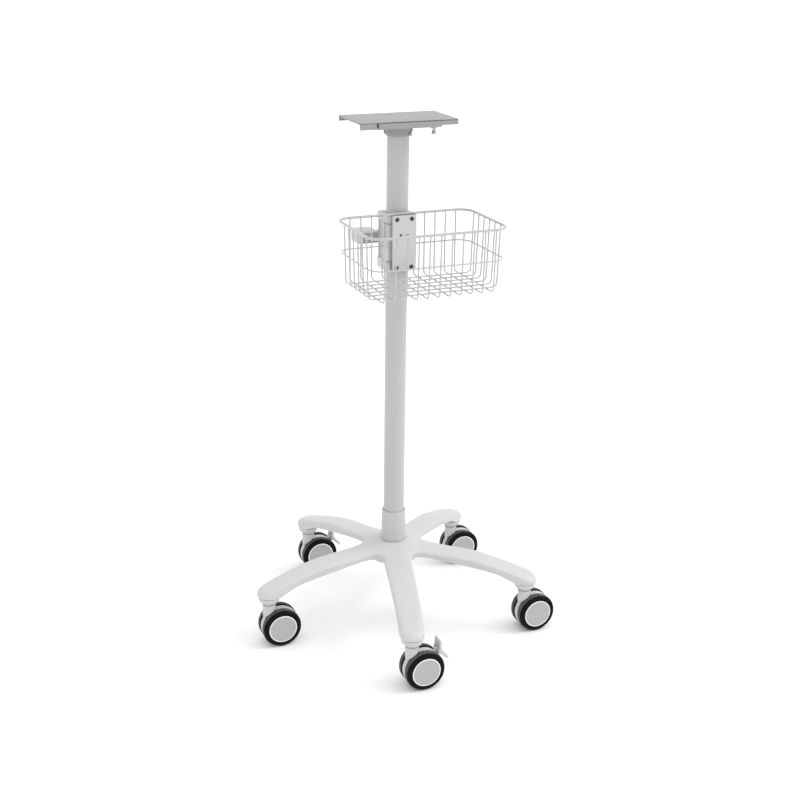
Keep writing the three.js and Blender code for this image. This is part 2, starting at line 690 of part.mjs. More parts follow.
// Distance between the centre lines of welded wires, sunk a little into each other.
const RIM_WELD = 3.4;
const BAND_WELD = 2.3;
const lean = (z) => (RIM_Z - z) * WALL_TAPER;
const wallX = (z) => BASKET_HALF_X - RIM_WELD - lean(z);
const backY = BASKET_BACK - RIM_WELD;
const frontY = (z) => BASKET_FRONT + RIM_WELD + lean(z);
const FLOOR_BEND = 8;

// A closed hoop that starts and ends in the middle of its back.
function hoop(halfX, back, front, z, radius, sides) {
  return wire(roundedRoute([
    v3(0, back, z), v3(halfX, back, z), v3(halfX, front, z),
    v3(-halfX, front, z), v3(-halfX, back, z), v3(0, back, z),
  ], BASKET_CORNER, 4), radius, sides);
}

function lengthWire(x) {
  const z = FLOOR_Z;
  return wire(roundedRoute([
    v3(x, backY, RIM_Z), v3(x, backY, z), v3(x, frontY(z), z), v3(x, frontY(RIM_Z), RIM_Z),
  ], FLOOR_BEND, 2), MESH_WIRE, 4);
}

function crossWire(y) {
  const z = FLOOR_Z + BAND_WELD;
  return wire(roundedRoute([
    v3(-wallX(RIM_Z), y, RIM_Z), v3(-wallX(z), y, z), v3(wallX(z), y, z), v3(wallX(RIM_Z), y, RIM_Z),
  ], FLOOR_BEND, 2), MESH_WIRE, 4);
}

function basket() {
  const parts = [
    hoop(BASKET_HALF_X, BASKET_BACK, BASKET_FRONT, RIM_Z, RIM_WIRE, 8),
    hoop(wallX(BAND_Z) + BAND_WELD, backY + BAND_WELD, frontY(BAND_Z) - BAND_WELD,
      BAND_Z, MESH_WIRE, 4),
  ];
  for (let i = 0; i < LENGTH_WIRES; i += 1) {
    parts.push(lengthWire((i - (LENGTH_WIRES - 1) / 2) * LENGTH_PITCH));
  }
  for (let i = 0; i < CROSS_WIRES; i += 1) {
    parts.push(crossWire(CROSS_CENTRE + (i - (CROSS_WIRES - 1) / 2) * CROSS_PITCH));
  }
  return union(parts);
}

stand.add(piece('basket', basket(), wirePaint));

// ---------------------------------------------------------------- origin

// The origin is the middle of the footprint, on the floor.
const box = new THREE.Box3().setFromObject(stand, true);
const middle = box.getCenter(v3(0, 0, 0));
stand.position.set(-middle.x, -middle.y, -box.min.z);

export default stand;
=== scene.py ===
"""Looks of a patient monitor's rolling stand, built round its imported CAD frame. Metres, +Z up."""
import json
from math import atan2, cos, degrees, pi, radians, sin, sqrt, tan

import bmesh
import bpy
from mathutils import Matrix, Vector

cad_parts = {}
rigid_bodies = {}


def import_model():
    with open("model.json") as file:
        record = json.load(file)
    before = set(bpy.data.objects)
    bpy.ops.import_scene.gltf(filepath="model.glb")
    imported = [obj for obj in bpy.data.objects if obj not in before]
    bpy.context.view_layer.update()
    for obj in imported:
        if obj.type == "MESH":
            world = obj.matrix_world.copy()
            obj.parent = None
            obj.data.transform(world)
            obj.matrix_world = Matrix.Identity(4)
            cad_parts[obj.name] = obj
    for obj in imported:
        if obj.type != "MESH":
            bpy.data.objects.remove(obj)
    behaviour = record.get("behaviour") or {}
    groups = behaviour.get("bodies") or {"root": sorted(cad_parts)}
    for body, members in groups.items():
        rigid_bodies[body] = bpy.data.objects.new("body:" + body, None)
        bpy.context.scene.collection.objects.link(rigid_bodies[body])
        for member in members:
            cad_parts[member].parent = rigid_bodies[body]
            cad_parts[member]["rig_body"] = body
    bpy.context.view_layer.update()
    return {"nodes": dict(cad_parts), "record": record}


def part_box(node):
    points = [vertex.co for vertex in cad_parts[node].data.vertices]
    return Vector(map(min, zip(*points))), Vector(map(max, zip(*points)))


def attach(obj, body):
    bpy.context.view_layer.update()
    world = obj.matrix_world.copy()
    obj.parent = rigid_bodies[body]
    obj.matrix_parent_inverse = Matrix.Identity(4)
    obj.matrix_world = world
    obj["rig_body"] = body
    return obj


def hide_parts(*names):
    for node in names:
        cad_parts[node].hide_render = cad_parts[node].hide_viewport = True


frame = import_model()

MM = 0.001                                  # lengths are in millimetres where no comment says metres
SLOT_OF = {part["node"]: part["material_slot"] for part in frame["record"]["subparts"]}
CASTERS = ["front", "right", "back_right", "back_left", "left"]
BRAKED = ["front", "back_left"]


def middle(node):
    """The middle of a node's box, in metres."""
    low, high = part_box(node)
    return (low + high) / 2


POLE = middle("pole")                       # the pole's axis, in metres
AXIS = Vector((POLE.x, POLE.y, 0))


def span(node, axis, about=AXIS):
    """A node's lowest and highest value along an axis, in millimetres, from a point."""
    low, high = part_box(node)
    return (low[axis] - about[axis]) / MM, (high[axis] - about[axis]) / MM


def extent(node):
    """A node's x0, x1, y0, y1, z0 and z1 in millimetres, from the foot of the pole's axis."""
    return [value for axis in range(3) for value in span(node, axis)]


def centre_of(node):
    """The middle of a node's box in millimetres, from the foot of the pole's axis."""
    return tuple(value / MM for value in middle(node) - AXIS)


# ---------------------------------------------------------------- materials

NOISE_LOW, NOISE_HIGH = 0.3, 0.7            # most of a noise texture lies between these
SHOULDER_R, TREAD_R = 36.2, 37.3            # where a tyre's painted highlight starts and is full, from its axis


def new_material(name):
    """A material with its nodes, its links and its shader."""
    material = bpy.data.materials.new(name)
    material.use_nodes = True
    nodes = material.node_tree.nodes
    return material, nodes, material.node_tree.links, nodes["Principled BSDF"]


def noise(nodes, links, scale, detail=3.0, stretch=(1, 1, 1)):
    """A noise texture in the piece's own coordinates; scale is in features per metre."""
    place = nodes.new("ShaderNodeTexCoord")
    mapping = nodes.new("ShaderNodeMapping")
    mapping.inputs["Scale"].default_value = stretch
    texture = nodes.new("ShaderNodeTexNoise")
    texture.inputs["Scale"].default_value = scale
    texture.inputs["Detail"].default_value = detail
    links.new(place.outputs["Object"], mapping.inputs["Vector"])
    links.new(mapping.outputs["Vector"], texture.inputs["Vector"])
    return texture.outputs["Fac"]


def ramp(nodes, links, value, low, high, first, last):
    """Maps value from low..high onto two greys or colours."""
    node = nodes.new("ShaderNodeValToRGB")
    node.color_ramp.elements[0].position = low
    node.color_ramp.elements[1].position = high
    node.color_ramp.elements[0].color = (*first, 1)
    node.color_ramp.elements[1].color = (*last, 1)
    links.new(value, node.inputs["Fac"])
    return node.outputs["Color"]


def spread(nodes, links, value, low, high):
    """Maps the range that most of a noise lies in onto low..high."""
    node = nodes.new("ShaderNodeMapRange")
    node.inputs["From Min"].default_value = NOISE_LOW
    node.inputs["From Max"].default_value = NOISE_HIGH
    node.inputs["To Min"].default_value = low
    node.inputs["To Max"].default_value = high
    links.new(value, node.inputs["Value"])
    return node.outputs["Result"]


def multiply(nodes, links, a, b):
    """The product of two colours."""
    node = nodes.new("ShaderNodeMix")
    node.data_type = "RGBA"
    node.blend_type = "MULTIPLY"
    node.inputs["Factor"].default_value = 1.0
    links.new(a, node.inputs["A"])
    links.new(b, node.inputs["B"])
    return node.outputs["Result"]


def bump(nodes, links, shader, height, depth_mm, normal=None):
    """Gives a shader a relief, on top of an earlier one if that is given."""
    node = nodes.new("ShaderNodeBump")
    node.inputs["Strength"].default_value = 1.0
    node.inputs["Distance"].default_value = depth_mm * MM
    links.new(height, node.inputs["Height"])
    if normal is not None:
        links.new(normal, node.inputs["Normal"])
    links.new(node.outputs["Normal"], shader.inputs["Normal"])
    return node.outputs["Normal"]


def tinted(colour, share):
    """A colour made darker or lighter by a share."""
    return tuple(min(1.0, c * share) for c in colour)


def coated(name, colour, roughness, peel, scuffs, coat=0.0):
    """Sprayed or moulded skin: cloudy colour, faint scuffs, uneven gloss and a fine peel."""
    material, nodes, links, shader = new_material(name)
    cloud = ramp(nodes, links, noise(nodes, links, 9), NOISE_LOW, NOISE_HIGH,
                 tinted(colour, 0.975), tinted(colour, 1.02))
    marks = noise(nodes, links, 60, 6, (1, 1, 0.4))
    worn = ramp(nodes, links, marks, 0.60, 0.78, (1, 1, 1), (1 - scuffs,) * 3)
    links.new(multiply(nodes, links, cloud, worn), shader.inputs["Base Color"])
    gloss = spread(nodes, links, noise(nodes, links, 35, 4), roughness - 0.06, roughness + 0.07)
    links.new(gloss, shader.inputs["Roughness"])
    broad = bump(nodes, links, shader, noise(nodes, links, 420, 2), peel)
    bump(nodes, links, shader, noise(nodes, links, 2600, 2), peel * 0.25, broad)
    shader.inputs["Coat Weight"].default_value = coat
    shader.inputs["Coat Roughness"].default_value = 0.12
    return material


def rubber(name, colour):
    """Tyre rubber: its tread, far from the wheel's axis, has a painted highlight, broken by noise.
    """
    material, nodes, links, shader = new_material(name)
    place = nodes.new("ShaderNodeTexCoord")
    flat = nodes.new("ShaderNodeVectorMath")
    flat.operation = "MULTIPLY"
    flat.inputs[1].default_value = (1, 0, 1)
    reach = nodes.new("ShaderNodeVectorMath")
    reach.operation = "LENGTH"
    links.new(place.outputs["Object"], flat.inputs[0])
    links.new(flat.outputs["Vector"], reach.inputs[0])
    tread = nodes.new("ShaderNodeMapRange")
    tread.inputs["From Min"].default_value = SHOULDER_R * MM
    tread.inputs["From Max"].default_value = TREAD_R * MM
    links.new(reach.outputs["Value"], tread.inputs["Value"])
    # Painted highlight: the tread is coloured up to 55 times lighter than the rubber, broken up by
    # noise, standing in for the light that grazes it.
    painted_tread_highlight = nodes.new("ShaderNodeMath")
    painted_tread_highlight.operation = "MULTIPLY"
    links.new(tread.outputs["Result"], painted_tread_highlight.inputs[0])
    links.new(noise(nodes, links, 240, 5), painted_tread_highlight.inputs[1])
    shade = ramp(nodes, links, painted_tread_highlight.outputs["Value"], 0.2, 0.9, colour, tinted(colour, 55))
    links.new(shade, shader.inputs["Base Color"])
    gloss = spread(nodes, links, noise(nodes, links, 120, 4), 0.40, 0.56)
    links.new(gloss, shader.inputs["Roughness"])
    shader.inputs["Specular IOR Level"].default_value = 0.09
    broad = bump(nodes, links, shader, noise(nodes, links, 700, 3), 0.05)
    bump(nodes, links, shader, noise(nodes, links, 3200, 2), 0.02, broad)
    return material


def plated(name, colour, roughness):
    """Zinc-plated steel: cloudy tint, fine turning marks."""
    material, nodes, links, shader = new_material(name)
    tint = ramp(nodes, links, noise(nodes, links, 160, 4), 0.35, 0.65,
                tinted(colour, 0.8), tinted(colour, 1.1))
    links.new(tint, shader.inputs["Base Color"])
    shader.inputs["Metallic"].default_value = 0.9
    gloss = spread(nodes, links, noise(nodes, links, 500, 4), roughness - 0.08, roughness + 0.1)
    links.new(gloss, shader.inputs["Roughness"])
    bump(nodes, links, shader, noise(nodes, links, 900, 2, (1, 1, 9)), 0.02)
    return material


MATERIALS = {
    "base_casting": coated("base_powder_coat", (0.54, 0.54, 0.54), 0.42, 0.05, 0.05),
    "pole_paint": coated("pole_powder_coat", (0.448, 0.45, 0.453), 0.36, 0.035, 0.03),
    "sleeve_plastic": coated("sleeve_moulding", (0.485, 0.487, 0.49), 0.44, 0.03, 0.04),
    "caster_plastic": coated("caster_moulding", (0.535, 0.537, 0.54), 0.46, 0.03, 0.06),
    "hub_plastic": coated("wheel_cap_moulding", (0.388, 0.39, 0.393), 0.34, 0.02, 0.06),
    "tyre_rubber": rubber("tyre_rubber", (0.0035, 0.0035, 0.0037)),
    "plated_steel": plated("plated_steel", (0.46, 0.465, 0.47), 0.34),
    "head_sheet": coated("head_powder_coat", (0.295, 0.297, 0.30), 0.44, 0.05, 0.05),
    "bracket_casting": coated("bracket_coat", (0.535, 0.537, 0.54), 0.42, 0.04, 0.04),
    "wire_coat": coated("wire_dip_coat", (0.45, 0.452, 0.455), 0.24, 0.04, 0.02, coat=0.5),
}
RING_PLASTIC = coated("wheel_ring_moulding", (0.80, 0.80, 0.80), 0.30, 0.02, 0.04)
# Darker grey for the arm's front pad: painted shade for the shade that falls on that face.
SHADE_PAD = coated("arm_pad_painted_shade", (0.34, 0.343, 0.347), 0.7, 0.12, 0.08)
DARK_SCREW = plated("dark_screw_steel", (0.09, 0.09, 0.095), 0.42)
BACKDROP = coated("studio_floor", (0.95, 0.95, 0.95), 0.9, 0.0, 0.0)


# ---------------------------------------------------------------- mesh code

WELD = 1e-7                                 # metres
SHARP = 38                                  # degrees; a steeper edge keeps its two flat sides
FINE = 96                                   # facets round a large turned piece
DOME = [(0.6, 0.8), (0.9, 0.35)]            # shift and size of a wire end's rings, in wire radii


def rounded(points, closed=True, steps=5):
    """A line of (x, y) or (x, y, radius) points: each corner with a radius becomes an arc."""
    line = []
    count = len(points)
    for i, point in enumerate(points):
        here = Vector(point[:2])
        radius = point[2] if len(point) > 2 else 0
        end = not closed and i in (0, count - 1)
        if radius <= 0 or end:
            line.append(tuple(here))
            continue
        back = Vector(points[i - 1][:2]) - here
        ahead = Vector(points[(i + 1) % count][:2]) - here
        half = back.angle(ahead) / 2
        reach = min(radius / tan(half), 0.49 * back.length, 0.49 * ahead.length)
        back.normalize()
        ahead.normalize()
        centre = here + (back + ahead).normalized() * reach / cos(half)
        first = here + back * reach - centre
        last = here + ahead * reach - centre
        sweep = first.angle(last)
        for k in range(steps + 1):
            t = k / steps
            arm = (first * sin((1 - t) * sweep) + last * sin(t * sweep)) / sin(sweep)
            line.append(tuple(centre + arm))
    return line


def box_outline(x0, x1, y0, y1, radius):
    """A rectangle with rounded corners. The radius is one number, or a list of four that starts
    at the corner x0, y0 and goes on by way of x1, y0."""
    radii = radius if isinstance(radius, list) else [radius] * 4
    corners = [(x0, y0), (x1, y0), (x1, y1), (x0, y1)]
    return [(x, y, r) for (x, y), r in zip(corners, radii)]


def tidy(bm):
    """Welds points that meet, drops empty faces and turns the rest outwards."""
    bmesh.ops.remove_doubles(bm, verts=bm.verts, dist=WELD)
    bmesh.ops.dissolve_degenerate(bm, edges=bm.edges, dist=WELD / 10)
    bmesh.ops.recalc_face_normals(bm, faces=bm.faces)


def thing(name, verts, faces):
    """A mesh object from points in millimetres."""
    bm = bmesh.new()
    made = [bm.verts.new(Vector(v) * MM) for v in verts]
    for face in faces:
        bm.faces.new([made[i] for i in face])
    tidy(bm)
    mesh = bpy.data.meshes.new(name)
    bm.to_mesh(mesh)
    bm.free()
    piece = bpy.data.objects.new(name, mesh)
    bpy.context.scene.collection.objects.link(piece)
    return piece


def joined_rings(rings, closed_tube, caps):
    """Points and faces of a skin through rings of equal length."""
    size = len(rings[0])
    verts = [point for ring in rings for point in ring]
    faces = []
    count = len(rings)
    for a in range(count if closed_tube else count - 1):
        b = (a + 1) % count
        for i in range(size):
            j = (i + 1) % size
            faces.append([a * size + i, a * size + j, b * size + j, b * size + i])
    if caps:
        faces.append(list(range(size))[::-1])
        faces.append([(count - 1) * size + i for i in range(size)])
    return verts, faces


AXES = {
    "Z": lambda a, b, h: (a, b, h),
    "Y": lambda a, b, h: (a, h, b),
    "X": lambda a, b, h: (h, a, b),
}


def lathe(name, profile, segments=72, axis="Z", steps=5):
    """Turns (radius, height, fillet) points round an axis. The profile starts and ends on the
    axis, or else closes on itself."""
    ring = profile[0][0] > 0
    line = rounded(profile, closed=ring, steps=steps)
    turn = AXES[axis]
    rings = [[turn(r * cos(2 * pi * i / segments), r * sin(2 * pi * i / segments), h)
              for i in range(segments)] for r, h in line]
    return thing(name, *joined_rings(rings, closed_tube=ring, caps=False))


def rod(name, radius, start, end, segments, axis="Z"):
    """A plain cylinder to cut a hole with."""
    profile = [(0, start), (radius, start), (radius, end), (0, end)]
    return lathe(name, profile, segments, axis)


def inward(corners, distance):
    """Corners moved in by a distance: a convex corner's radius shrinks, a hollow one's grows."""
    count = len(corners)
    area = sum(corners[i - 1][0] * corners[i][1] - corners[i][0] * corners[i - 1][1]
               for i in range(count))
    side = 1 if area > 0 else -1
    moved_in = []
    for i, corner in enumerate(corners):
        here = Vector(corner[:2])
        before = here - Vector(corners[i - 1][:2])
        after = Vector(corners[(i + 1) % count][:2]) - here
        n1 = Vector((-before.y, before.x)).normalized() * side
        n2 = Vector((-after.y, after.x)).normalized() * side
        here += (n1 + n2) / max(0.3, 1 + n1.dot(n2)) * distance
        radius = corner[2] if len(corner) > 2 else 0
        if radius > 0:
            convex = 1 if before.cross(after) * side > 0 else -1
            radius = max(0.02, radius - convex * distance)
        moved_in.append((here.x, here.y, radius))
    return moved_in


def prism(name, corners, low, high, edge=0.4, axis="Z", steps=3):
    """An outline of (x, y) or (x, y, radius) corners carried along an axis. The edges at its two
    ends are rounded."""
    turn = AXES[axis]
    levels = []
    for k in range(steps + 1):
        angle = k / steps * pi / 2
        levels.append((edge * (1 - sin(angle)), low + edge * (1 - cos(angle))))
    levels += [(inset, high + low - h) for inset, h in reversed(levels)]
    rings = [[turn(x, y, h) for x, y in rounded(inward(corners, inset))] for inset, h in levels]
    return thing(name, *joined_rings(rings, closed_tube=False, caps=True))


def hexagon(radius, turn=0.0):
    """Corners of the socket that a hexagon key fits."""
    angles = [k * pi / 3 + turn for k in range(6)]
    return [(radius * cos(a), radius * sin(a)) for a in angles]


def route(corners, radius, steps=6):
    """A line in space with each inner corner rounded by an arc."""
    line = [Vector(corners[0])]
    for i in range(1, len(corners) - 1):
        here = Vector(corners[i])
        back = (Vector(corners[i - 1]) - here).normalized()
        ahead = (Vector(corners[i + 1]) - here).normalized()
        half = back.angle(ahead) / 2
        reach = radius / tan(half)
        centre = here + (back + ahead).normalized() * radius / sin(half)
        first = here + back * reach - centre
        last = here + ahead * reach - centre
        sweep = first.angle(last)
        for k in range(steps + 1):
            t = k / steps
            arm = (first * sin((1 - t) * sweep) + last * sin(t * sweep)) / sin(sweep)
            line.append(centre + arm)
    line.append(Vector(corners[-1]))
    return line


def wire(name, line, radius, sides=12, closed=False):
    """A round wire along a line, with domed ends unless it is closed."""
    if closed:
        line = line[:-1]
    count = len(line)
    rings = []
    normal = None
    for i, here in enumerate(line):
        before = line[i - 1] if closed or i > 0 else here
        after = line[(i + 1) % count] if closed or i < count - 1 else here
        along = (after - before).normalized()
        if normal is None:
            normal = along.orthogonal().normalized()
        normal = (normal - along * normal.dot(along)).normalized()
        across = along.cross(normal)
        angles = [2 * pi * k / sides for k in range(sides)]
        section = [normal * cos(a) + across * sin(a) for a in angles]
        ends = [(0, 1)]
        if not closed and i == 0:
            ends = [(-shift, size) for shift, size in reversed(DOME)] + ends
        if not closed and i == count - 1:
            ends = ends + DOME
        for shift, size in ends:
            middle_point = here + along * shift * radius
            rings.append([tuple(middle_point + arm * radius * size) for arm in section])
    return thing(name, *joined_rings(rings, closed_tube=closed, caps=not closed))


def settle(piece):
    """Applies the piece's modifiers to its mesh."""
    bpy.context.view_layer.update()
    solved = piece.evaluated_get(bpy.context.evaluated_depsgraph_get())
    old = piece.data
    piece.data = bpy.data.meshes.new_from_object(solved)
    piece.data.name = old.name
    piece.modifiers.clear()
    bpy.data.meshes.remove(old)
    return piece


def shaped(piece, others, operation="DIFFERENCE"):
    """Cuts other objects out of a piece, or joins them to it."""
    for other in others:
        modifier = piece.modifiers.new("shape", "BOOLEAN")
        modifier.operation = operation
        modifier.solver = "EXACT"
        modifier.object = other
    settle(piece)
    for other in others:
        bpy.data.objects.remove(other)
    return piece


def merged(name, pieces):
    """Several meshes as one object."""
    bm = bmesh.new()
    for piece in pieces:
        piece.data.transform(piece.matrix_world)
        bm.from_mesh(piece.data)
        bpy.data.objects.remove(piece)
    mesh = bpy.data.meshes.new(name)
    bm.to_mesh(mesh)
    bm.free()
    whole = bpy.data.objects.new(name, mesh)
    bpy.context.scene.collection.objects.link(whole)
    return whole


def moved(piece, x=0, y=0, z=0, turn=0, about="Z"):
    """Turns a piece's mesh about an axis by degrees, then shifts it by millimetres."""
    piece.data.transform(Matrix.Rotation(radians(turn), 4, about))
    piece.data.transform(Matrix.Translation(Vector((x, y, z)) * MM))
    return piece


def dressed(piece, material, sharp=SHARP):
    """Smooth shading with flat faces kept flat, and the material."""
    piece.data.materials.clear()
    piece.data.materials.append(material)
    for polygon in piece.data.polygons:
        polygon.use_smooth = True
        polygon.material_index = 0
    piece.data.set_sharp_from_angle(angle=radians(sharp))
    modifier = piece.modifiers.new("normals", "WEIGHTED_NORMAL")
    modifier.keep_sharp = True
    return settle(piece)


def stand_for(piece, node, at=AXIS):
    """Puts a finished piece in the place of a CAD node, on that node's body."""
    piece.location = at
    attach(piece, frame["nodes"][node]["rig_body"])
    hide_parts(node)
    return piece


def finished(piece, node, at=AXIS, sharp=SHARP):
    """Dresses a piece in its node's material and puts it in that node's place."""
    return stand_for(dressed(piece, MATERIALS[SLOT_OF[node]], sharp), node, at)


def copy_of(piece, name):
    """A second object with the same mesh."""
    twin = bpy.data.objects.new(name, piece.data)
    bpy.context.scene.collection.objects.link(twin)
    return twin


def copied(piece, node, at):
    """Puts a copy of a finished piece in a node's place."""
    return stand_for(copy_of(piece, f"{node}_fine"), node, at)


# ---------------------------------------------------------------- five-leg base

def stem_place(where):
    """A caster's stem seen from the pole's axis, in metres."""
    return middle(f"caster_cup_{where}") - AXIS


LEG_ANGLES = sorted(atan2(stem_place(w).y, stem_place(w).x) for w in CASTERS)
STEM_CIRCLE = stem_place("front").xy.length / MM
LEG_PITCH = 2 * pi / len(CASTERS)
LEG_ROOT_HALF = 25.5
LEG_TIP_HALF = 22.0
LEG_FILLET = 22.0
LEG_WALL = 4.5
LEG_TOP = [(20, 172.2), (30, 171), (42, 166.5), (62, 160.2), (100, 155), (137, 152), (165, 148.3),
           (200, 139.8), (240, 128.6), (262, 121.6), (275, 117.6), (284, 115.6)]
LEG_FOOT = [(20, 138), (46, 138), (60, 146), (120, 139.3), (206, 122.6), (236, 109.5),
            (247, 104), (290, 104)]
HUB_FLOOR = 138.0
HUB_LEDGE = 146.0
TIP_FLOOR = 104.6
EDGE_SLOPE = 0.80                           # sine of the slope where the top meets the side
EDGE_WIDTH = 5.5                            # of the rounded edge; it doubles towards the tip
EDGE_WIDENS = (215, 275)                    # from the pole's axis, like the next
CROWN_STARTS = (30, 70)
CROWN = 1.3                                 # how far the top rises across a leg
SOFT = 0.3                                  # rounding of the lip's corners
BOSS_RADII = (17.6, 21)                     # foot and shoulder of the boss round the stem
HUB_RADII = (50, 58)                        # foot and shoulder of the hub's floor
RIBS_AT = (108.0, 170.0)                    # from the pole's axis
RIB_HALF = 20.5                             # at 100 mm from the pole's axis
RIB_TAPER = 0.012
CORE_INSET = LEG_TIP_HALF - 0.5             # the innermost ring, almost the leg's middle line
POLE_BORE = 20.0
BOLT_BORE = 6.4
SIDE_STEPS = 30
SIDE_BUNCHING = 1.3                         # sets a side's points closer towards the tip
TIP_STEPS = 16
FILLET_STEPS = 12


def along(line, x):
    """Height of a line of (distance, height) points, with a soft bend at each point."""
    i = max(1, min(len(line) - 1, sum(1 for point in line if point[0] < x)))
    (x0, z0), (x1, z1) = line[i - 1], line[i]
    t = max(0.0, min(1.0, (x - x0) / (x1 - x0)))

    def slope(k):
        a, b = line[max(k - 1, 0)], line[min(k + 1, len(line) - 1)]
        return (b[1] - a[1]) / (b[0] - a[0])

    m0, m1 = slope(i - 1) * (x1 - x0), slope(i) * (x1 - x0)
    return ((2 * t ** 3 - 3 * t ** 2 + 1) * z0 + (t ** 3 - 2 * t ** 2 + t) * m0
            + (3 * t ** 2 - 2 * t ** 3) * z1 + (t ** 3 - t ** 2) * m1)


def step(x, x0, x1):
    """0 before x0, 1 after x1, and a smooth rise between."""
    t = max(0.0, min(1.0, (x - x0) / (x1 - x0)))
    return t * t * (3 - 2 * t)


def star_ring(inset):
    """Plan of the star, moved in by inset. Every ring has the same number of points, leg by leg."""
    ring = []
    corner = (LEG_ROOT_HALF + LEG_FILLET) / sin(LEG_PITCH / 2)
    for leg in LEG_ANGLES:
        tip = Vector((cos(leg), sin(leg))) * STEM_CIRCLE
        gap = leg + LEG_PITCH / 2
        hollow = Vector((cos(gap), sin(gap))) * corner
        round_in = LEG_FILLET + inset
        for k in range(TIP_STEPS + 1):
            angle = leg - pi / 2 + pi * k / TIP_STEPS
            ring.append(tip + Vector((cos(angle), sin(angle))) * (LEG_TIP_HALF - inset))
        side = ring[-1]
        root = hollow + Vector((cos(leg - pi / 2), sin(leg - pi / 2))) * round_in
        for k in range(1, SIDE_STEPS):
            ring.append(side.lerp(root, (k / SIDE_STEPS) ** SIDE_BUNCHING))
        for k in range(FILLET_STEPS + 1):
            angle = leg - pi / 2 - (pi - LEG_PITCH) * k / FILLET_STEPS
            ring.append(hollow + Vector((cos(angle), sin(angle))) * round_in)
        after = leg + LEG_PITCH
        far_tip = Vector((cos(after), sin(after))) * STEM_CIRCLE
        out = Vector((cos(after - pi / 2), sin(after - pi / 2)))
        far_side = far_tip + out * (LEG_TIP_HALF - inset)
        near = ring[-1]
        for k in range(1, SIDE_STEPS):
            share = ((SIDE_STEPS - k) / SIDE_STEPS) ** SIDE_BUNCHING
            ring.append(far_side.lerp(near, share))
    return ring


def upper_height(point, inset):
    """Leg's upper skin: a slight crown across, curving down to a crease at its edge."""
    reach = point.length
    width = EDGE_WIDTH + EDGE_WIDTH * step(reach, *EDGE_WIDENS)
    radius = width / EDGE_SLOPE
    middling = min(inset, CORE_INSET) / CORE_INSET
    crown = CROWN * (1 - middling) ** 2 * step(reach, *CROWN_STARTS)
    rolled = radius - sqrt(radius ** 2 - max(0.0, width - inset) ** 2)
    return along(LEG_TOP, reach) - crown - rolled


def lower_height(point):
    """Ceiling of the hollow underside, down to the hub's floor and to each tip's boss."""
    reach = point.length
    ceiling = along(LEG_TOP, reach) - LEG_WALL
    stem = min((point - Vector((cos(a), sin(a))) * STEM_CIRCLE).length for a in LEG_ANGLES)
    ceiling = TIP_FLOOR + (ceiling - TIP_FLOOR) * step(stem, *BOSS_RADII)
    return HUB_FLOOR + (ceiling - HUB_FLOOR) * step(reach, *HUB_RADII)


def base_skin():
    """One closed skin: over the top, down the sides, round the lip and up under the legs."""
    lip = 1.0
    corner = 0.8                            # between the wall's inside and the ceiling
    insets = (CORE_INSET, 19, 16, 13, 10, 8, 6.4, 5, 3.8, 2.7, 1.8, 1.05, 0.5, 0.15, 0)
    rings = [[(p.x, p.y, upper_height(p, inset)) for p in star_ring(inset)] for inset in insets]
    plain = star_ring(0)

    def foot(point, rise):
        return along(LEG_FOOT, point.length) + rise

    rings.append([(p.x, p.y, foot(p, lip)) for p in plain])
    for inset, rise in ((SOFT, SOFT), (lip, 0), (LEG_WALL - lip, 0), (LEG_WALL - SOFT, SOFT)):
        rings.append([(p.x, p.y, foot(q, rise)) for p, q in zip(star_ring(inset), plain)])
    for inset, drop in ((LEG_WALL, corner), (LEG_WALL + corner, 0), (8, 0), (12, 0), (17, 0),
                        (CORE_INSET, 0)):
        rings.append([(p.x, p.y, lower_height(p) - drop) for p in star_ring(inset)])
    verts, faces = joined_rings(rings, closed_tube=False, caps=False)

    size = len(plain)
    leg_size = size // len(CASTERS)
    root = TIP_STEPS + SIDE_STEPS           # index of a fillet's first point within its leg
    # Along the middle of each leg, above and below, its two sides are joined across.
    for start in (0, (len(rings) - 1) * size):
        for leg in range(len(CASTERS)):
            first, tip = leg * leg_size, TIP_STEPS // 2
            left = [start + first + k for k in range(tip, root + 1)]
            right = [start + (first + k) % size for k in range(tip, -SIDE_STEPS - 1, -1)]
            for a in range(len(left) - 1):
                quad = [left[a], left[a + 1], right[a + 1], right[a]]
                faces.append(list(dict.fromkeys(quad)))

    # The hub: in over the top, down the pole's seat and the bolt's bore, and out along its floor.
    top_loop = [leg * leg_size + root + k
                for leg in range(len(CASTERS)) for k in range(FILLET_STEPS + 1)]
    under_loop = [(len(rings) - 1) * size + i for i in top_loop]
    plan = [Vector(rings[0][i][:2]) for i in top_loop]
    hub_levels = [(share, POLE_BORE + 0.4, None) for share in (0.25, 0.5, 0.75, 1.0)]
    hub_levels += [
        (1, POLE_BORE, LEG_TOP[0][1] - 0.5), (1, POLE_BORE, HUB_LEDGE), (1, BOLT_BORE, HUB_LEDGE),
        (1, BOLT_BORE, HUB_FLOOR), (0.6, BOLT_BORE, HUB_FLOOR), (0.25, BOLT_BORE, HUB_FLOOR),
    ]
    loops = [top_loop]
    for share, radius, height in hub_levels:
        loop = []
        for p in plan:
            q = p.lerp(p.normalized() * radius, share)
            z = along(LEG_TOP, q.length) if height is None else height
            loop.append(len(verts))
            verts.append((q.x, q.y, z))
        loops.append(loop)
    loops.append(under_loop)
    for a, b in zip(loops, loops[1:]):
        for i in range(len(a)):
            j = (i + 1) % len(a)
            faces.append([a[i], a[j], b[j], b[i]])
    return thing("base_skin", verts, faces)


def base_ribs():
    """Two stiffening ribs under each leg."""
    ribs = []
    for leg in LEG_ANGLES:
        for reach in RIBS_AT:
            half = RIB_HALF - (reach - 100) * RIB_TAPER
            low = along(LEG_FOOT, reach) + 2
            top = along(LEG_TOP, reach) - 2.2
            rib = prism("rib", box_outline(reach - 2, reach + 2, -half, half, SOFT), low, top, 0.5)
            ribs.append(moved(rib, turn=degrees(leg)))
    return ribs


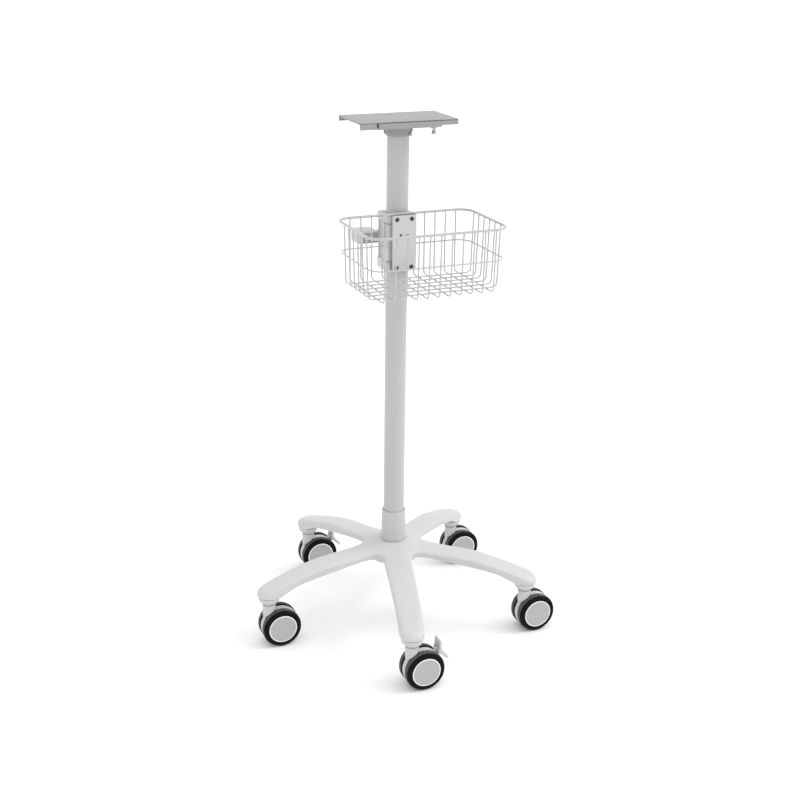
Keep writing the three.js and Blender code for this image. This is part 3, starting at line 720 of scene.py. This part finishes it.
def make_base():
    """The casting with its ribs."""
    finished(merged("base_star_fine", [base_skin(), *base_ribs()]), "base_star", sharp=30)


# ---------------------------------------------------------------- pole and sleeve

POLE_R = span("pole", 0)[1]
POLE_WALL = 2.0
FIT = 0.25                                  # clearance round the pole


def make_pole():
    """The tube, and the sleeve round its foot."""
    low, high = span("pole", 2)
    inner = POLE_R - POLE_WALL
    pole = lathe("pole_fine", [
        (inner, low, 0.3), (POLE_R, low, 0.3), (POLE_R, high, 0.4), (inner, high, 0.4),
    ], FINE)
    finished(pole, "pole")

    low, high = span("pole_sleeve", 2)
    foot = span("pole_sleeve", 0)[1]
    top = foot - 2.0
    bore = POLE_R + FIT
    sleeve = lathe("pole_sleeve_fine", [
        (bore, low), (foot - 0.8, low, 0.3), (top, high - 2, 2.5), (top - 0.5, high, 1.1),
        (bore + 0.5, high, 0.4), (bore, high - 0.8, 0.3),
    ], FINE)
    finished(sleeve, "pole_sleeve")


# ---------------------------------------------------------------- casters

WHEEL_R = span("tyre_a_front", 2)[1] / 2
WHEEL_Z = WHEEL_R
TRAIL = (middle("tyre_a_front").x - middle("caster_cup_front").x) / MM
WEB_HALF = 5.3                              # half the hood's thickness
NECK_R = 12.5
HOOD_ENDS = (229, 8)                        # degrees round the axle, from its front to its back
HOOD_STEPS = 40
PEDAL_PIVOT = Vector((TRAIL + 31.5, 0, WHEEL_Z + 29.3))
PEDAL_HALF = 11.5
UPPER_BLADE = (88, 22.4)                    # angle in degrees above +X, and length
LOWER_BLADE = (-46, 23.5)
BLADE_THICK = 5.2
CAP_FACE = 22.9                             # the cap's face, from the caster's middle


def caster_cup():
    """Bowl under the leg's tip, with a lip, and the stud that goes up into the leg."""
    low, stud_top = span("caster_cup_front", 2)
    top = TIP_FLOOR - 1.2
    return lathe("cup", [
        (0, low + 1.6), (10.6, low + 1.6, 0.3), (11.0, low + 0.5, 0.3), (12.4, low + 0.2, 0.8),
        (18.4, low + 4.8, 4), (19.7, top - 7.8, 2), (20.3, top - 1.3, 0.5), (18.0, top - 1.1, 0.3),
        (18.0, top, 0.3), (6, top), (5.8, stud_top, 0.8), (0, stud_top),
    ])


def wheel_space(side):
    """What the hood leaves clear for one wheel, rounded at its edge."""
    reach = WHEEL_R + 1.3
    y0 = side * (WEB_HALF + 0.1)
    y1 = side * 30                          # well past the wheel's outer face
    profile = [(0, y0), (reach - 2, y0, 0.5), (reach, y0 + side * 2, 1.2), (reach, y1), (0, y1)]
    return moved(lathe("space", profile, axis="Y"), TRAIL, 0, WHEEL_Z)


def caster_fork(braked):
    """Neck, hood and stem. The hood is a band between the wheels, open towards the back below."""
    stem_top = span("caster_fork_left", 2)[1]
    neck_top = span("caster_cup_front", 2)[0] - 0.3
    hood_r = WHEEL_R - 1.2
    first, last = (radians(end) for end in HOOD_ENDS)
    angles = [first + (last - first) * k / HOOD_STEPS for k in range(HOOD_STEPS + 1)]
    arc = [(TRAIL + hood_r * cos(a), WHEEL_Z + hood_r * sin(a)) for a in angles]
    corners = arc + [(TRAIL + 12, WHEEL_Z - 9, 8), (TRAIL - 8, WHEEL_Z - 14, 8)]
    web = prism("fork", corners, -WEB_HALF, WEB_HALF, 1.1, "Y")
    neck = lathe("neck", [
        (0, 50), (NECK_R - 1.5, 50), (NECK_R, 66, 4), (NECK_R, neck_top - 2.2, 0.7),
        (NECK_R - 2.2, neck_top - 1.8, 0.2), (NECK_R - 2.2, neck_top, 0.2), (0, neck_top),
    ])
    shaped(neck, [wheel_space(-1), wheel_space(1)])
    stem = lathe("stem", [
        (0, neck_top - 6), (4.9, neck_top - 6), (4.9, stem_top, 0.8), (0, stem_top),
    ], 32)
    parts = [neck, stem]
    if braked:
        x, _, z = PEDAL_PIVOT
        lug = prism("lug", [
            (TRAIL + 19, WHEEL_Z + 24), (TRAIL + 25.5, WHEEL_Z + 19.5), (x + 2.6, z - 4.4, 1),
            (x + 5, z - 1, 4), (x + 3.4, z + 4.4, 4), (x - 3.4, z + 4.4, 3),
        ], -WEB_HALF + 0.1, WEB_HALF - 0.1, 0.7, "Y")
        parts.append(lug)
    return shaped(web, parts, "UNION")


def brake_pedal():
    """Two tongues on cheeks that straddle the hood's lug: push the lower one to brake."""
    half = BLADE_THICK / 2
    gap = WEB_HALF + 0.6                    # from the lug's middle to a cheek

    def tongue(angle, length):
        corners = [(5.9, -half, 0.6), (length - 4, -half + 0.4, 6), (length, -0.6, 1.6),
                   (length - 1, half, 1.6), (5.9, half + 0.3, 0.6)]
        blade = prism("tongue", corners, -PEDAL_HALF, PEDAL_HALF, 1.5, "Y", 4)
        return moved(blade, turn=-angle, about="Y")

    def cheek(y0, y1, angle):
        corners = [(-4.6, -4.6, 4.5), (4.6, -2.9, 2), (8, -2.3, 0.5), (8, 2.4, 0.5),
                   (-4.6, 4.6, 4.5)]
        return moved(prism("cheek", corners, y0, y1, 0.7, "Y"), turn=-angle, about="Y")

    parts = [tongue(*LOWER_BLADE)]
    for y0, y1 in ((-PEDAL_HALF, -gap), (gap, PEDAL_HALF)):
        parts.append(cheek(y0, y1, UPPER_BLADE[0]))
        parts.append(cheek(y0 + 0.05, y1 - 0.05, LOWER_BLADE[0]))
    end = PEDAL_HALF - 1
    parts.append(lathe("pin", [(0, -end), (2.4, -end, 0.3), (2.4, end, 0.3), (0, end)], 24, "Y"))
    pedal = shaped(tongue(*UPPER_BLADE), parts, "UNION")
    return moved(pedal, PEDAL_PIVOT.x, 0, PEDAL_PIVOT.z)


def wheel_part(name, profile, side):
    """Turns a profile of a wheel; the caster's two wheels are mirror images."""
    return lathe(name, [(r, side * h, *rest) for r, h, *rest in profile], FINE, "Y", 4)


def tyre(side):
    """Ring of rubber with a crowned tread and a groove at its inner shoulder."""
    rim = 27.1
    tread = WHEEL_R
    return wheel_part("tyre", [
        (rim, 6.2), (tread - 2.2, 6.2, 1.2), (tread - 0.6, 8.6, 0.5), (tread - 1.3, 9.0, 0.3),
        (tread - 1.3, 9.5, 0.3), (tread, 9.9, 0.6), (tread, 17.2, 3), (tread - 1.6, 20.6, 1.6),
        (tread - 3.2, 22.0, 1.2), (rim + 0.6, 22.2, 0.5), (rim, 21.4),
    ], side)


def wheel_cap(side):
    """Wheel hub closed by a slightly dished cap."""
    return wheel_part("cap", [
        (0, CAP_FACE - 0.5), (20, CAP_FACE - 0.15, 30), (25.3, CAP_FACE),
        (25.6, CAP_FACE - 1.0, 0.2), (26.9, CAP_FACE - 1.0), (26.9, 6.3, 0.4), (5, 6.3, 0.4),
        (4.4, 20), (0, 20),
    ], side)


def wheel_ring(side):
    """Bright bead round the cap."""
    return wheel_part("ring", [
        (25.3, CAP_FACE - 0.9), (25.3, CAP_FACE + 0.35, 0.5), (27.3, CAP_FACE + 0.1, 0.7),
        (27.3, CAP_FACE - 0.9),
    ], side)


def make_casters():
    """Each piece is made once and copied to its casters."""
    plastic = MATERIALS["caster_plastic"]
    cup = dressed(caster_cup(), plastic)
    forks = {braked: dressed(caster_fork(braked), plastic) for braked in (False, True)}
    pedal = dressed(brake_pedal(), plastic)
    wheels = {}
    for label, side in (("a", -1), ("b", 1)):
        wheels[label] = (dressed(tyre(side), MATERIALS["tyre_rubber"]),
                         dressed(wheel_cap(side), MATERIALS["hub_plastic"]),
                         dressed(wheel_ring(side), RING_PLASTIC))
    for where in CASTERS:
        stem = middle(f"caster_cup_{where}")
        foot = Vector((stem.x, stem.y, 0))
        hub = foot + Vector((TRAIL, 0, WHEEL_Z)) * MM
        copied(cup, f"caster_cup_{where}", foot)
        copied(forks[where in BRAKED], f"caster_fork_{where}", foot)
        if where in BRAKED:
            copied(pedal, f"brake_pedal_{where}", foot)
        for label, (rubber_ring, cap, ring) in wheels.items():
            copied(rubber_ring, f"tyre_{label}_{where}", hub)
            copied(cap, f"wheel_hub_{label}_{where}", hub)
            bead = copy_of(ring, f"wheel_ring_{label}_{where}")
            bead.location = hub
            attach(bead, f"wheel_{label}_{where}")
    for pattern in [cup, *forks.values(), pedal, *wheels["a"], *wheels["b"]]:
        bpy.data.objects.remove(pattern)


# ---------------------------------------------------------------- head

SOCKET_R = 22.3
SHEET = 2.5


def make_socket():
    """Cap over the pole's top, with a flange under the rail plate, and its three set screws."""
    low, high = span("head_socket", 2)
    pole_top = span("pole", 2)[1] + 0.3
    bore = POLE_R + FIT
    flange = SOCKET_R + 0.7
    socket = lathe("head_socket_fine", [
        (0, pole_top), (bore, pole_top), (bore, low, 0.3), (SOCKET_R - 1.6, low, 0.4),
        (SOCKET_R, low + 1.6, 1.2), (SOCKET_R, high - 5.4, 0.6), (flange, high - 4.8, 0.4),
        (flange, high, 0.4), (0, high),
    ], FINE)
    under = SOCKET_R + 0.25                 # underside of a screw's head
    face = SOCKET_R + 3
    holes = []
    for name in ("left", "right", "front"):
        x, y, z = centre_of(f"set_screw_{name}")
        heading = degrees(atan2(y, x))
        holes.append(moved(rod("hole", 2.25, 15, 30, 24, "X"), z=z, turn=heading))
        shank = lathe("shank", [
            (0, 20.3), (1.9, 20.3, 0.3), (1.9, under), (3.5, under, 0.4), (3.5, face, 0.9),
            (0, face),
        ], 40, "X")
        shaped(shank, [prism("hex", hexagon(1.7), SOCKET_R + 1.2, face + 1, 0.05, "X", 1)])
        shank.name = f"set_screw_{name}_fine"
        moved(shank, z=z, turn=heading)
        stand_for(dressed(shank, MATERIALS["plated_steel"]), f"set_screw_{name}")
    shaped(socket, holes)
    # The socket is dressed in the darker head coat: partly its own grey, partly painted shade for
    # the tray's shadow on it.
    stand_for(dressed(socket, MATERIALS["head_sheet"]), "head_socket")


def make_rail_plate():
    """Fixed plate with a lip turned up along its front and back."""
    x0, x1, y0, y1, z0, z1 = extent("rail_plate")
    skin = z0 + SHEET
    section = [
        (y0, z0, 2.6), (y1, z0, 2.6), (y1, z1, 0.5), (y1 - SHEET, z1, 0.5), (y1 - SHEET, skin, 0.6),
        (y0 + SHEET, skin, 0.6), (y0 + SHEET, z1, 0.5), (y0, z1, 0.5),
    ]
    plate = prism("rail_plate_fine", section, x0, x1, 0.35, "X")
    knob_x, knob_y, _ = centre_of("plunger_knob")
    shaped(plate, [moved(rod("hole", 4.0, z0 - 1, skin + 1, 40), knob_x, knob_y)])
    finished(plate, "rail_plate")


def make_slide_plate():
    """Flat plate on two flanges that hang from it, set back from its edges. A deeper tab hangs at
    the front left."""
    x0, x1, y0, y1, z0, z1 = extent("slide_plate")
    skin = z1 - 1.3                         # underside of the plate's edge
    neck = z1 - 2.4
    back = 1.8                              # depth of the groove under the edge
    flange = z0 + 2.2
    rail_end = span("rail_plate", 0)[0]
    front = [(y0 + back, skin, 0.2), (y0 + back, neck, 0.2), (y0 + 0.3, neck, 0.3),
             (y0 + 0.3, flange, 0.5), (y0 + SHEET, flange, 0.5),
             (y0 + SHEET, z1 - SHEET - 0.6, 1.0)]
    far = [(y0 + y1 - y, z, r) for y, z, r in reversed(front)]
    section = [(y0, z1, 0.6), (y0, skin, 0.4), *front, *far, (y1, skin, 0.4), (y1, z1, 0.6)]
    plate = prism("slide_plate_fine", section, x0, x1, 0.3, "X")
    tab = box_outline(x0 + 0.1, rail_end - 0.4, z0, skin - 0.5, [1.6, 0.8, 0.2, 0.2])
    shaped(plate, [prism("tab", tab, y0 + 0.02, y0 + SHEET - 0.02, 0.4, "Y")], "UNION")
    notch = box_outline(rail_end - 3.4, rail_end + 0.6, z0 + 3.6, neck - 0.1, 0.4)
    shaped(plate, [prism("notch", notch, y0 - 1, y0 + SHEET + 1, 0.1, "Y")])
    finished(plate, "slide_plate")


def make_plunger():
    """Pull knob with its pin, and the threaded barrel that guides it."""
    knob = middle("plunger_knob")
    at = Vector((knob.x, knob.y, 0))
    low, high = span("plunger_knob", 2)
    pull = lathe("plunger_knob_fine", [
        (0, low + 0.5), (3.0, low + 0.2, 1), (4.4, low, 0.7), (4.5, low + 1.6, 0.7),
        (3.6, low + 4.2, 3), (2.7, low + 7.0, 1), (2.0, low + 8.0, 0.5), (2.0, high - 1, 0.3),
        (1.3, high, 0.3), (0, high),
    ], 48)
    stand_for(dressed(pull, MATERIALS["plated_steel"]), "plunger_knob", at)
    low, high = span("plunger_barrel", 2)
    wide = low + 2.7
    barrel = lathe("plunger_barrel_fine", [
        (2.35, low, 0.2), (5.3, low, 0.5), (5.3, wide, 0.5), (3.7, wide, 0.1), (3.7, high, 0.4),
        (2.35, high, 0.2),
    ], 48)
    stand_for(dressed(barrel, MATERIALS["plated_steel"]), "plunger_barrel", at)


# ---------------------------------------------------------------- bracket

def pole_bore(z0, z1):
    """The room that a bracket piece leaves for the pole."""
    return rod("bore", POLE_R + FIT, z0 - 5, z1 + 5, FINE)


def make_rail():
    """Extruded rail with a deep slot and a shallow channel down each side."""
    x0, x1, y0, y1, z0, z1 = extent("bracket_rail")
    rail = prism("bracket_rail_fine", box_outline(x0, x1, y0, y1, [1.5, 1.5, 5, 5]), z0, z1, 0.2)
    cuts = [pole_bore(z0, z1)]
    for low, high, depth in ((-12.4, -8.4, 8.2), (1, 18, 2.5)):
        for x in (x0, x1):
            groove = box_outline(x - depth, x + depth, low, high, 0.8)
            cuts.append(prism("slot", groove, z0 - 1, z1 + 1, 0.1))
    shaped(rail, cuts)
    finished(rail, "bracket_rail")


def make_collar(node, screw_nodes, corner_boss=False):
    """Collar round the pole with a boss for each clamp screw."""
    x1 = span(node, 0)[1]
    x0 = -x1                                # the corner boss stands out beyond this side
    y0 = span("bracket_rail", 1)[0]
    y1 = span(node, 1)[1]
    z0, z1 = span(node, 2)
    outline = box_outline(x0, x1, y0, y1, [6, 5, 7, 7])
    collar = prism(f"{node}_fine", outline, z0, z1, 3.0, steps=5)
    extras = []
    if corner_boss:
        radius, low, high = 4.6, z0 + 0.6, z1 - 1
        profile = [(0, low), (radius, low, 1), (radius, high, 1.2), (0, high)]
        extras.append(moved(lathe("corner_boss", profile, 48), x0 + 1.2, y0))
    front = span("clamp_plate", 1)[1] + 0.3
    inside = y0 + 1.5
    holes = [pole_bore(z0, z1)]
    for screw_node in screw_nodes:
        x, _, z = centre_of(screw_node)
        boss = lathe("boss", [(0, front), (4.0, front, 0.4), (4.0, inside), (0, inside)], 40, "Y")
        extras.append(moved(boss, x, 0, z))
        holes.append(moved(rod("hole", 2.2, front - 1, y0 + 5, 24, "Y"), x, 0, z))
    shaped(collar, extras, "UNION")
    shaped(collar, holes)
    finished(collar, node)


def make_clamp():
    """Clamp plate with a shallow slot between two holes, and its four countersunk screws."""
    x0, x1, y0, y1, z0, z1 = extent("clamp_plate")
    plate = prism("clamp_plate_fine", box_outline(x0, x1, z0, z1, 3.2), y0, y1, 0.6, "Y")
    slot_z = (z0 + z1) / 2 + 15.3
    slot = box_outline(-7, 8.1, slot_z - 1.8, slot_z + 1.8, 1.75)
    cuts = [prism("slot", slot, y0 - 1, y0 + 1.0, 0.1, "Y")]
    for x, radius in ((-6.8, 2.4), (7, 1.2)):
        cuts.append(moved(rod("hole", radius, y0 - 1, y1 + 1, 32, "Y"), x, 0, slot_z))
    screws = {f"clamp_screw_{k}": centre_of(f"clamp_screw_{k}") for k in range(1, 5)}
    for x, _, z in screws.values():
        sink = lathe("sink", [
            (0, y0 - 1), (5.2, y0 - 1), (4.5, y0), (2.25, y0 + 2.2), (2.25, y1 + 1), (0, y1 + 1),
        ], 40, "Y")
        cuts.append(moved(sink, x, 0, z))
    shaped(plate, cuts)
    finished(plate, "clamp_plate")

    tip = span("clamp_screw_1", 1)[1]
    face = y0 + 0.35
    for node, (x, _, z) in screws.items():
        body = lathe(f"{node}_fine", [
            (0, face), (3.9, face, 0.3), (3.9, face + 0.5, 0.1), (1.9, face + 2.4, 0.3),
            (1.9, tip, 0.5), (0, tip),
        ], 40, "Y")
        shaped(body, [prism("hex", hexagon(1.75, 0.3), face - 1, face + 1.6, 0.05, "Y", 1)])
        stand_for(dressed(moved(body, x, 0, z), DARK_SCREW), node)


def make_arm():
    """Moulded arm behind the bracket, with a darker pad let into its front as painted shade, and a
    foot on the back of the rail."""
    gap = 0.3                               # round the rail, and round the pad in its bed
    x0, _, y0, y1, z0, z1 = extent("cable_arm")
    side = span("bracket_rail", 0)[0] - gap
    back = span("bracket_rail", 1)[1] + gap
    outline = box_outline(x0, side, y0, y1, [3.5, 1, 14, 14])
    arm = prism("cable_arm_fine", outline, z0, z1, 1.6, steps=4)
    foot = box_outline(side - 10, 12, back, back + 9, [0.5, 1, 3, 0.5])
    shaped(arm, [prism("foot", foot, z0 + 0.02, z1 - 0.02, 1.2)], "UNION")
    bed = (x0 + 3.5, side - 2.4, z0 + 1.5, z1 - 1.5)
    shaped(arm, [prism("bed", box_outline(*bed, 1.6), y0 - 1, y0 + 2.4, 0.1, "Y")])
    finished(arm, "cable_arm")
    # The pad is dressed in darker grey: painted shade on the arm's front face.
    pad_outline = box_outline(bed[0] + gap, bed[1] - gap, bed[2] + gap, bed[3] - gap, 1.4)
    pad = prism("cable_arm_pad", pad_outline, y0 + 0.9, y0 + 2.35, 0.5, "Y")
    dressed(pad, SHADE_PAD)
    pad.location = AXIS
    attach(pad, "bracket")


# ---------------------------------------------------------------- wire basket

RIM_R, MESH_R = 2.35, 1.35                  # wire radii
RIM_WELD = RIM_R + MESH_R - 0.4             # between the middles of two welded wires
BAND_WELD = 2 * MESH_R - 0.35
BAND_HEIGHT = 56                            # above the floor
BASKET_CORNER = 26
WIRE_BEND = 8
BASKET_TAPER = 0.03
LENGTH_WIRES, LENGTH_PITCH = 11, 20.2
CROSS_WIRES, CROSS_PITCH = 6, 20.8
CROSS_MIDDLE = -111                         # from the pole's axis


def make_basket():
    """Rim, band and two sets of U-shaped wires. The sides and the front lean in towards the
    floor."""
    x0, x1, y0, y1, z0, z1 = extent("basket")
    rim_z = z1 - RIM_R
    floor_z = z0 + MESH_R
    band_z = floor_z + BAND_HEIGHT
    half = (x1 - x0) / 2 - RIM_R
    back, front = y1 - RIM_R, y0 + RIM_R
    back_wire = back - RIM_WELD

    def lean(z):
        return (rim_z - z) * BASKET_TAPER

    def wall(z):
        return half - RIM_WELD - lean(z)

    def front_wire(z):
        return front + RIM_WELD + lean(z)

    def hoop(name, half_x, y_back, y_front, z, radius, sides):
        corners = [(0, y_back, z), (half_x, y_back, z), (half_x, y_front, z),
                   (-half_x, y_front, z), (-half_x, y_back, z), (0, y_back, z)]
        return wire(name, route(corners, BASKET_CORNER, 14), radius, sides, closed=True)

    def bent_wire(name, corners):
        return wire(name, route(corners, WIRE_BEND, 8), MESH_R, 12)

    wires = [
        hoop("rim", half, back, front, rim_z, RIM_R, 20),
        hoop("band", wall(band_z) + BAND_WELD, back_wire + BAND_WELD,
             front_wire(band_z) - BAND_WELD, band_z, MESH_R, 14),
    ]
    for i in range(LENGTH_WIRES):
        x = (i - LENGTH_WIRES // 2) * LENGTH_PITCH
        wires.append(bent_wire("length_wire", [
            (x, back_wire, rim_z), (x, back_wire, floor_z), (x, front_wire(floor_z), floor_z),
            (x, front_wire(rim_z), rim_z),
        ]))
    upper = floor_z + BAND_WELD
    for i in range(CROSS_WIRES):
        y = CROSS_MIDDLE + (i - (CROSS_WIRES - 1) / 2) * CROSS_PITCH
        wires.append(bent_wire("cross_wire", [
            (-wall(rim_z), y, rim_z), (-wall(upper), y, upper), (wall(upper), y, upper),
            (wall(rim_z), y, rim_z),
        ]))
    finished(merged("basket_fine", wires), "basket")


# ---------------------------------------------------------------- carried-over CAD nodes

def dress_cad_nodes():
    """The nodes that stay as they are: axles, and the plug and bolt in the pole's foot."""
    for name, node in frame["nodes"].items():
        if node.hide_render:
            continue
        node.data.materials.clear()
        node.data.materials.append(MATERIALS[SLOT_OF[name]])


# ---------------------------------------------------------------- studio

FLOOR_HALF = 30                             # metres
SUNS = [("key", 1.0, 30, 47, -20), ("top", 0.42, 70, 12, -60)]   # strength, spread, tilt, heading
CAMERA_PLACE = (-0.8756, -2.0728, 1.3059)   # from the foot of the pole's axis, in metres
CAMERA_HEADING, CAMERA_DIP, CAMERA_ROLL = 23.14, 20.66, 0.765
LENS, SENSOR = 57.7, 36                     # millimetres


def make_floor():
    """A wide plain floor."""
    bm = bmesh.new()
    bmesh.ops.create_grid(bm, x_segments=2, y_segments=2, size=FLOOR_HALF)
    mesh = bpy.data.meshes.new("studio_floor")
    bm.to_mesh(mesh)
    bm.free()
    floor = bpy.data.objects.new("studio_floor", mesh)
    bpy.context.scene.collection.objects.link(floor)
    floor.data.materials.append(BACKDROP)


def make_lights():
    """An even sky and two soft suns."""
    world = bpy.data.worlds.new("studio_air")
    bpy.context.scene.world = world
    world.use_nodes = True
    air = world.node_tree.nodes["Background"]
    air.inputs["Color"].default_value = (1, 1, 1, 1)
    air.inputs["Strength"].default_value = 1.0
    for name, strength, angle, tilt, heading in SUNS:
        light = bpy.data.lights.new(name, "SUN")
        light.energy = strength
        light.angle = radians(angle)
        lamp = bpy.data.objects.new(name, light)
        bpy.context.scene.collection.objects.link(lamp)
        lamp.rotation_euler = (Matrix.Rotation(radians(heading), 3, "Z")
                               @ Matrix.Rotation(radians(tilt), 3, "Y")).to_euler()


def make_camera():
    """The camera of the main view."""
    place = AXIS + Vector(CAMERA_PLACE)
    lens = bpy.data.cameras.new("camera")
    lens.lens = LENS
    lens.sensor_width = SENSOR
    lens.clip_end = 200
    camera = bpy.data.objects.new("camera", lens)
    bpy.context.scene.collection.objects.link(camera)
    turn = (Matrix.Rotation(-radians(CAMERA_HEADING), 4, "Z")
            @ Matrix.Rotation(pi / 2 - radians(CAMERA_DIP), 4, "X")
            @ Matrix.Rotation(radians(CAMERA_ROLL), 4, "Z"))
    camera.matrix_world = Matrix.Translation(place) @ turn
    bpy.context.scene.camera = camera


make_camera()
make_base()
make_pole()
make_casters()
make_socket()
make_rail_plate()
make_slide_plate()
make_plunger()
make_rail()
make_collar("bracket_collar_lower", ["clamp_screw_1", "clamp_screw_2"], corner_boss=True)
make_collar("bracket_collar_upper", ["clamp_screw_3", "clamp_screw_4"])
make_clamp()
make_arm()
make_basket()
dress_cad_nodes()
make_floor()
make_lights()
bpy.context.scene.view_settings.view_transform = "Standard"
